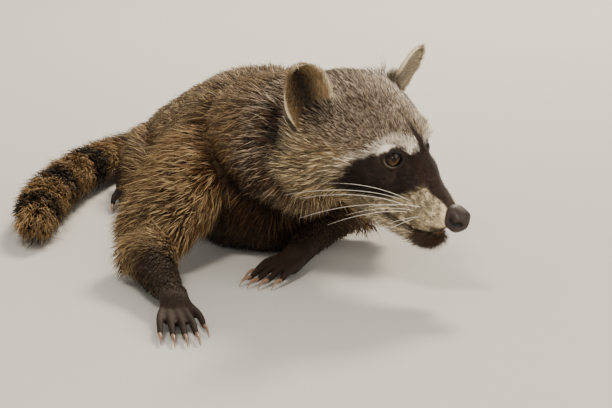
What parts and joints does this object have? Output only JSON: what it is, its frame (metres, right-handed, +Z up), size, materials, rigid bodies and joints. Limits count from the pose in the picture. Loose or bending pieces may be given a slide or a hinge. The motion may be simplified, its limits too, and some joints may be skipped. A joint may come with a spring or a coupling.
{
  "type": "raccoon model",
  "caption": "Life-size still raccoon lying on its belly, head turned to its left, forelegs stretched forward and tail laid along its side.",
  "frame": {"origin": "centre of the flat under the chest where the belly rests on the floor", "axes": "+Z up; the trunk runs from the chest towards +Y; the face looks towards +X and -Y"},
  "size_m": [0.3015, 0.5125, 0.1481],
  "materials": {
    "coat": "long grizzled grey-brown coat",
    "crown": "short grizzled fur of the head with a black mask",
    "ear": "short fur, cream rim",
    "tail_light": "bushy brown fur",
    "tail_dark": "bushy black-brown fur",
    "paw": "short dark fur, bare pads and pale claws",
    "nose": "moist grained black-grey skin",
    "eye": "wet brown eye"
  },
  "bodies": {
    "root": {"head": "crown", "nose_pad": "nose", "neck": "coat", "trunk": "coat", "eye_left": "eye", "ear_left": "ear", "upper_arm_left": "coat", "forearm_left": "coat", "hand_left": "paw", "thigh_left": "coat", "shank_left": "coat", "foot_left": "paw", "eye_right": "eye", "ear_right": "ear", "upper_arm_right": "coat", "forearm_right": "coat", "hand_right": "paw", "thigh_right": "coat", "shank_right": "coat", "foot_right": "paw", "tail_1": "tail_light", "tail_2": "tail_dark", "tail_3": "tail_light", "tail_4": "tail_dark"}
  },
  "joints": []
}
